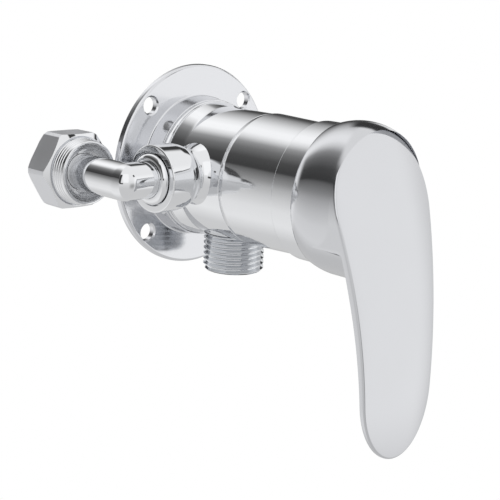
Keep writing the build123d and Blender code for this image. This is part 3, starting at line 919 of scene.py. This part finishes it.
@dataclass
class BentTube(Piece):
    """Elbow tubes of both arms, with the gland rings that hold them."""

    radius: float = 5.95
    bore_r: float = 4.9
    chamfer: float = 0.4
    inner_end: float = 28.9
    reach: float = 48.5
    station: float = 22.8
    height: float = 1.5
    outer_end: float = -3.9
    flare_t: float = 2.0
    flare_r: float = 9.2
    bead_r: float = 7.6
    bead_start: float = 31.9
    bead_end: float = 33.2
    collar_edge: float = 0.3
    gland_start: float = 33.3
    gland_thread_end: float = 36.6
    gland_thread: float = 0.3
    gland_r: float = 8.25
    gland_gap: float = 0.05
    gland_lip: float = 0.35
    mouth: float = 37.9
    dome: float = 1.9
    facets: int = 96

    def build(self) -> None:
        """Makes both tubes and both gland rings."""
        for side in Side:
            for name, bm, body, node in (
                ("elbow_tube", self.tube(side), Body[f"{side.name}_TUBE"], "bent_tube"),
                ("gland_cap", self.gland(side), Body.VALVE, "gland_ring"),
            ):
                self.place(f"{side.word}_{name}", bm, Finishes.POLISHED_CHROME, body, f"{side.word}_{node}")

    def tube(self, side: Side) -> BMesh:
        """Skins the tube's outside and its bore, from the pocket in the arm to the flare in the nut.

        Args:
            side: side of the valve.

        Returns:
            The tube's mesh, in place.
        """
        start, end, bend = self.inner_end, -self.outer_end, (self.reach, -self.station)
        arm = [(start, self.radius - self.chamfer), (start + self.chamfer, self.radius)]
        arm += self.collar(self.bead_start, self.bead_end, self.bead_r)
        nut = self.collar(end - self.flare_t, end, self.flare_r)[:-1] + [(end, self.bore_r)]
        rows = [self.row(side, radius, (place, -self.station)) for place, radius in arm]
        rows += [self.row(side, self.radius, bend, k / 24, True) for k in range(25)]
        rows += [self.row(side, radius, (self.reach, place), 1) for place, radius in nut]
        rows += [self.row(side, self.bore_r, bend, 1 - k / 12, True) for k in range(13)]
        return skin([*rows, self.row(side, self.bore_r, (start, -self.station)), rows[0]])

    def collar(self, start: float, end: float, top: float) -> list[tuple[float, float]]:
        """Gives the profile of a rounded collar on the tube.

        Args:
            start: place where it begins.
            end: place where it ends.
            top: its radius.

        Returns:
            Places along the tube with their radii.
        """
        edge = self.collar_edge
        rise = [(start, self.radius), *arc((start + edge, top - edge), (-edge, edge), 0, 90, 4)]
        return rise + [(start + end - place, radius) for place, radius in reversed(rise)]

    def row(
        self, side: Side, radius: float, middle: Sequence[float], turned: float = 0.0, mitre: bool = False
    ) -> list[Vector]:
        """Gives a ring of points across the tube.

        Args:
            side: side of the valve.
            radius: radius of the ring.
            middle: the ring's middle, from the valve's axis outwards and from the wall's plane backwards.
            turned: share of the bend that lies behind: 0 in the arm, 1 in the nut.
            mitre: whether the ring ends in a mitre on the inside of the bend.

        Returns:
            The points, in metres.
        """
        angle = math.pi / 2 * turned
        points = []
        for inward, rise in arc((0, 0), (radius, radius), 0, 360, self.facets)[:-1]:
            across, along = (1, 1) if mitre and inward > 0 else (math.sin(angle), math.cos(angle))
            x = side.value * (middle[0] - inward * across)
            points.append(Vector((x, middle[1] + inward * along, self.height + rise)) * MM)
        return points

    def gland(self, side: Side) -> BMesh:
        """Turns the gland ring with its domed front.

        Args:
            side: side of the valve.

        Returns:
            The ring's mesh, in place.
        """
        inner, thread_r = self.radius + self.gland_gap, self.gland_r + self.gland_thread
        lip = inner + self.gland_lip
        corners = [
            (inner, self.gland_start), (thread_r, self.gland_start), (thread_r, self.gland_thread_end),
            (self.gland_r, self.gland_thread_end),
            *arc((lip, self.mouth), (self.gland_r - lip, self.dome), 0, 90, 12),
            (inner, self.mouth + self.dome, 0.1),
        ]
        return moved(lathe(corners, 128), (0, -self.station, self.height), (side.value, 0, 0))


@dataclass
class UnionNut(Piece):
    """Hexagon union nuts with ringed collar, bowl and inner pipe thread. Places are distances from the wall."""

    flats: float = 24.0
    corner_edge: float = 0.3
    turned_r: float = 13.45
    back: float = -10.6
    front: float = -0.6
    chamfer: float = 1.0
    collar_r: float = 10.9
    groove: float = 0.4
    groove_depth: float = 0.35
    rim_r: float = 10.35
    rim: float = 4.6
    groove_taper: float = 0.3
    rings: int = 4
    ring_depth: float = 0.4
    ring_flank: float = 0.22
    first_ring: float = 0.75
    bowl_r: float = 9.3
    bowl_depth: float = 3.8
    bowl_edge: float = 0.3
    tube_bore_r: float = 6.05
    shoulder: float = -1.6
    seat_r: float = 9.5
    bore_r: float = 10.548
    thread_start: float = -4.1
    crest_r: float = 9.45
    pitch: float = 1.814
    lead_in: float = 0.8
    overlap: float = 0.02
    reach: float = 48.5
    height: float = 1.5

    def build(self) -> None:
        """Makes both nuts."""
        for side in Side:
            bm = moved(self.nut(), (side.value * self.reach, 0, self.height), FORWARD)
            body, word = Body[f"{side.name}_NUT"], side.word
            thing = self.place(f"{word}_hex_nut", bm, Finishes.POLISHED_CHROME, body, f"{word}_union_nut", 25.0)
            self.dull(thing, side)

    def nut(self) -> BMesh:
        """Turns the nut's blank, trims it to its hexagon and winds its thread.

        Returns:
            The nut's mesh about Z.
        """
        hexagon = bar(self.flats / math.sqrt(3), self.back - 2, self.rim + 2, 6, math.pi / 6)
        sides = [e for e in hexagon.edges if abs(e.verts[0].co.z - e.verts[1].co.z) > MM]
        size = self.corner_edge * MM
        bmesh.ops.bevel(hexagon, geom=sides, offset=size, segments=3, profile=0.5, affect="EDGES", material=-1)
        bm = combined(lathe(self.profile()), [hexagon], "INTERSECT")
        start, end = -self.thread_start, -self.back - 0.1
        inner = thread(self.crest_r, self.bore_r - self.overlap, self.pitch, start, end, self.lead_in)
        join(bm, moved(inner, ORIGIN, DOWN))
        return bm

    def profile(self) -> list[tuple[float, ...]]:
        """Draws the blank: chamfers, ringed collar, bowl, shoulder and thread bore.

        Returns:
            Its corners.
        """
        groove_r = self.collar_r + self.groove
        corners = [
            (self.bore_r, self.back, 0.3), (self.turned_r - self.chamfer, self.back, 0.15),
            (self.turned_r, self.back + self.chamfer / 2, 0.1), (self.turned_r, self.front - self.chamfer, 0.1),
            (self.turned_r - 2 * self.chamfer, self.front, 0.1), (groove_r, self.front, 0.05),
            (groove_r - self.groove_taper, self.front - self.groove_depth), (self.collar_r, self.front, 0.05),
        ]
        length = self.rim - self.front
        pitch = length / (self.rings + 1)
        for i in range(self.rings):
            offset = pitch * (i + self.first_ring)
            radius = self.collar_r - (self.collar_r - self.rim_r) * offset / length
            place, flank = self.front + offset, pitch * self.ring_flank
            corners += [
                (radius, place - flank, 0.12), (radius - self.ring_depth, place, 0.08), (radius, place + flank, 0.12)
            ]
        corners += [(self.rim_r, self.rim, 0.35), (self.bowl_r, self.rim, 0.2)]
        width, depth = self.bowl_r - self.tube_bore_r, self.bowl_depth - self.bowl_edge
        corners += arc((self.tube_bore_r, self.rim - self.bowl_edge), (width, -depth), 0, 90, 12)[1:]
        return corners + [
            (self.tube_bore_r, self.rim - self.bowl_depth - 0.1), (self.tube_bore_r, self.shoulder),
            (self.seat_r, self.shoulder), (self.seat_r, self.thread_start), (self.bore_r, self.thread_start),
        ]

    def dull(self, thing: Object, side: Side) -> None:
        """Gives the bowl its turned surface and the six flats their milled one.

        Args:
            thing: the nut.
            side: side of the valve.
        """
        for finish in (Finishes.TURNED_CHROME, Finishes.MILLED_CHROME):
            thing.data.materials.append(self.paint[finish])
        near = 0.1
        for face in thing.data.polygons:
            there = face.center / MM
            out = math.hypot(there.x - side.value * self.reach, there.z - self.height)
            if self.tube_bore_r < out < self.bowl_r + near and -there.y > self.rim - self.bowl_depth - near:
                face.material_index = 1
            elif out > self.flats / 2 - self.corner_edge and abs(face.normal.y) < 0.05:
                face.material_index = 2


Spot = tuple[Vector, float]


@dataclass
class Handle(Piece):
    """Lever handle: a hollow round head whose domed face runs down into a long flat paddle.

    Heights are Z and stations are distances from the wall. A spot is a place seen from the front with its station.
    """

    pivot: float = 61.5
    tilt: float = 12.0
    lip: float = 69.3
    lip_r: float = 23.2
    lip_edge: float = 0.15
    bulge: float = 74.5
    bulge_r: float = 24.2
    head_edge: float = 83.5
    head_r: float = 22.4
    head_join: float = 8.0
    toe_half: float = 16.7
    toe_depth: float = 22.0
    toe_drop: float = 56.0
    toe_join: float = 5.0
    face_points: tuple[tuple[float, float], ...] = ((20.0, 82.3), (-20.0, 94.3), (-78.0, 98.4))
    face_shares: tuple[float, ...] = (0, 0.1, 0.22, 0.36, 0.5, 0.64, 0.78, 0.9, 1)
    crown_r: float = 95.0
    plate: float = 2.4
    thinning: float = 0.8
    edge: float = 0.7
    back_edge: float = 0.5
    cavity_r: float = 23.92
    roof: float = 80.0
    roof_flat_r: float = 7.0
    boss_r: float = 7.2
    boss_start: float = 9.6
    key_place: float = 13.5
    key_r: float = 2.0
    key_start: float = 12.0
    key_end: float = 36.0
    lines: int = 320
    outline_steps: int = 200
    back_rows: int = 12
    side_rows: int = 18
    chin_rows: int = 8
    lip_rows: int = 6
    roof_rows: int = 8

    def __post_init__(self) -> None:
        """Finds the circles of the face's middle line and of the head's rounded side."""
        self.dome = circle_through(*self.face_points)
        self.round = circle_through((self.lip, self.lip_r), (self.bulge, self.bulge_r), (self.head_edge, self.head_r))

    def build(self) -> None:
        """Draws the shell row by row, drills the key hole and adds the boss round the spindle."""
        lean = math.radians(self.tilt)
        out = Vector((0, -math.cos(lean), -math.sin(lean)))
        down = Vector((0, math.sin(lean), -math.cos(lean)))
        hub = Vector((0, -self.pivot, 0))
        drill = moved(bar(self.key_r, self.key_start, self.key_end, 48), hub + out * self.key_place, down)
        bm = combined(skin(list(zip(*self.meridians()))), [drill])
        start, end = self.boss_start, self.roof - self.pivot + 1
        boss = lathe([(0, start), (self.boss_r, start, 0.4), (self.boss_r, end), (0, end)], 96)
        join(bm, moved(boss, hub, out))
        self.place("lever_handle", bm, Finishes.SATIN_CHROME, Body.LEVER, "handle", 40.0)

    def face(self, p: Vector, drop: float) -> float:
        """Finds the domed face, or a sheet behind it.

        Args:
            p: place seen from the front.
            drop: how far the sheet lies behind the face.

        Returns:
            Its station.
        """
        centre, radius = self.dome
        fallen = radius - self.crown_r + math.sqrt(self.crown_r**2 - p.x**2)
        return centre.y + math.sqrt(fallen**2 - (p.y - centre.x) ** 2) - drop

    def on_side(self, way: Vector, station: float) -> Spot:
        """Gives the spot of the head's rounded side in a direction, at a station."""
        centre, radius = self.round
        return way * (centre.y + math.sqrt(radius**2 - (station - centre.x) ** 2)), station

    def thickness(self, height: float) -> float:
        """Gives the paddle's thickness at a height, thinning evenly from the head to the tip."""
        share = (-height - self.bulge_r) / (self.toe_drop + self.toe_depth - self.bulge_r)
        return self.plate - self.thinning * min(1.0, max(0.0, share))

    def outline(self) -> list[Vector]:
        """Draws the outline seen from the front: round head, hollow flanks and oval tip.

        Returns:
            Its points, evenly spread, anticlockwise from the top.
        """
        count, halves = self.outline_steps, (self.toe_half, self.toe_depth)
        half = [Vector(p) for p in arc((0, 0), (self.head_r, self.head_r), 90, -self.head_join, count)]
        toe = [Vector(p) for p in arc((0, -self.toe_drop), halves, -self.toe_join, -90, count)]
        hip, ankle = half.pop(), toe[0]
        lean, rise = math.radians(self.head_join), math.radians(self.toe_join)
        reach = (ankle - hip).length / 3
        run_in = Vector((-math.sin(lean), -math.cos(lean))) * reach
        run_out = Vector((-self.toe_half * math.sin(rise), -self.toe_depth * math.cos(rise))).normalized() * reach
        points = [p.to_3d() for p in (hip, hip + run_in, ankle - run_out, ankle)]
        half += [p.to_2d() for p in interpolate_bezier(*points, count)[:-1]] + toe
        ring = [Vector((-p.x, p.y)) for p in half] + half[-2:0:-1]
        steps = [(b - a).length for a, b in zip(ring, ring[1:] + ring[:1])]
        spread, walked, at = [], 0.0, 0
        for i in range(self.lines):
            goal = sum(steps) * i / self.lines
            while walked + steps[at] < goal:
                walked += steps[at]
                at += 1
            spread.append(ring[at].lerp(ring[(at + 1) % len(ring)], (goal - walked) / steps[at]))
        return spread

    def meridians(self) -> list[list[Vector]]:
        """Draws lines over the whole surface, one through each point of the outline.

        Returns:
            The lines' points, in metres, as many in each.
        """
        ring = self.outline()
        outside = [i for i, p in enumerate(ring) if p.length > self.bulge_r]
        first, last = outside[0], outside[-1]
        start, end = (math.atan2(ring[i].y, ring[i].x) % (2 * math.pi) for i in (first, last))
        lines = []
        for i, p in enumerate(ring):
            side = (ring[(i + 1) % self.lines] - ring[i - 1]).normalized()
            away = Vector((side.y, -side.x))
            line = self.front_rows(p, away)
            if first <= i <= last:
                angle = start + (end - start) * (i - first) / (last - first)
                way = Vector((math.cos(angle), math.sin(angle)))
                line += self.paddle_rows(p, away, way)
            else:
                way = p.normalized()
                line += self.head_rows(p, way)
            line += self.inner_rows(way)
            lines.append([Vector((q.x, -station, q.y)) * MM for q, station in line])
        return lines

    def front_rows(self, p: Vector, away: Vector) -> list[Spot]:
        """Runs from the spine out over the face and round its edge.

        Args:
            p: point of the outline.
            away: direction out of the outline there.

        Returns:
            The line's spots.
        """
        spine = Vector((0, min(0.0, max(p.y, -self.toe_drop))))
        rim = p - away * self.edge
        spots = [(spine.lerp(rim, share), 0.0) for share in self.face_shares]
        for drop, inset in arc((self.edge, self.edge), (-self.edge, -self.edge), 0, 90, 6)[1:]:
            spots.append((p - away * inset, drop))
        return [(q, self.face(q, drop)) for q, drop in spots]

    def paddle_rows(self, p: Vector, away: Vector, way: Vector) -> list[Spot]:
        """Runs down the thin edge of the paddle, in over its back and down the chin under the head.

        Args:
            p: point of the outline.
            away: direction out of the outline there.
            way: direction from the head's middle to where the line meets the chin.

        Returns:
            The line's spots.
        """
        small, thick = self.back_edge, self.thickness(p.y)
        straight = thick - self.edge - small
        line = [(p, self.face(p, self.edge + straight * share)) for share in (0.5, 1)]
        for inset, drop in arc((small, thick - small), (-small, small), 0, 90, 4)[1:]:
            q = p - away * inset
            line.append((q, self.face(q, drop)))
        foot = way * self.bulge_r
        for share in steps_to(0, 1, self.back_rows):
            q = (p - away * small).lerp(foot, share)
            line.append((q, self.face(q, self.thickness(q.y))))
        return line + [(foot, station) for station in steps_to(line[-1][1], self.bulge, self.chin_rows)]

    def head_rows(self, p: Vector, way: Vector) -> list[Spot]:
        """Runs straight down the head's side, then along its rounding to the widest place.

        Args:
            p: point of the outline.
            way: its direction from the head's middle.

        Returns:
            The line's spots, as many as over the paddle.
        """
        centre, radius = self.round
        meet = centre.x + math.sqrt(radius**2 - (p.length - centre.y) ** 2)
        line = [(p, station) for station in steps_to(self.face(p, self.edge), meet, self.side_rows)]
        return line + [self.on_side(way, station) for station in steps_to(meet, self.bulge, self.chin_rows)]

    def inner_rows(self, way: Vector) -> list[Spot]:
        """Runs from the widest place round the lip and up the hollow to the middle of its roof.

        Args:
            way: direction from the head's middle.

        Returns:
            The line's spots.
        """
        lip = steps_to(self.bulge, self.lip + self.lip_edge, self.lip_rows)
        line = [self.on_side(way, station) for station in lip]
        line.append((way * (self.lip_r - self.lip_edge), self.lip))
        for station in (self.lip, *steps_to(self.lip, self.roof, self.roof_rows)):
            line.append((way * math.sqrt(self.cavity_r**2 - (station - self.pivot) ** 2), station))
        return line + [(way * self.roof_flat_r, self.roof), (way * 0.0, self.roof)]


def main() -> None:
    """Dresses the frame and sets up the studio."""
    logging.basicConfig(level=logging.INFO, format="%(name)s: %(message)s")
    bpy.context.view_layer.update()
    paint = Paint()
    paint.coat_nodes(frame["nodes"], frame["record"])
    for kind in (WallFlange, TurnedTrim, ValveBody, Outlet, BentTube, UnionNut, Handle):
        kind(paint).build()
    Studio().build()


if __name__ == "__main__":
    main()
